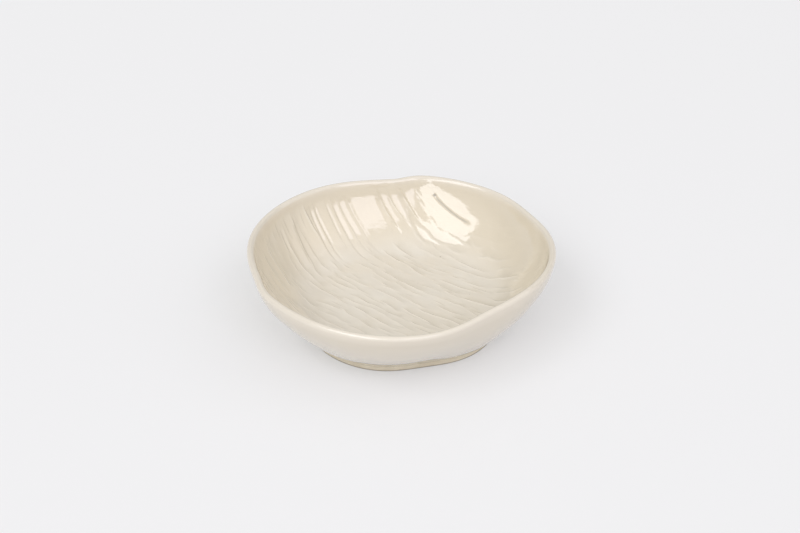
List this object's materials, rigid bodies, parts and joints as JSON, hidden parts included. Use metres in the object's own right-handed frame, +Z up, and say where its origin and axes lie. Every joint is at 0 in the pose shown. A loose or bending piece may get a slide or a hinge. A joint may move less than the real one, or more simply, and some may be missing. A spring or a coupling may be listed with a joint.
{
  "type": "tapas plate",
  "caption": "Small round glazed ceramic tapas plate: a shallow bowl with a softly pinched rim, a rippled inside and a low foot ring, for serving small portions.",
  "frame": {"origin": "on the table, under the middle of the dish's bounding box", "axes": "+Z up out of the dish; -Y towards the viewer of the picture; +X to the viewer's right"},
  "size_m": [0.1278, 0.1284, 0.0338],
  "materials": {
    "clay": "fired, matt, hidden under the glaze except at the underside",
    "bare_clay": "fired, smooth and unglazed",
    "glaze": "glossy warm ivory"
  },
  "bodies": {
    "root": {"dish_body": "clay", "foot_ring": "bare_clay", "glaze_coat": "glaze"}
  },
  "joints": []
}
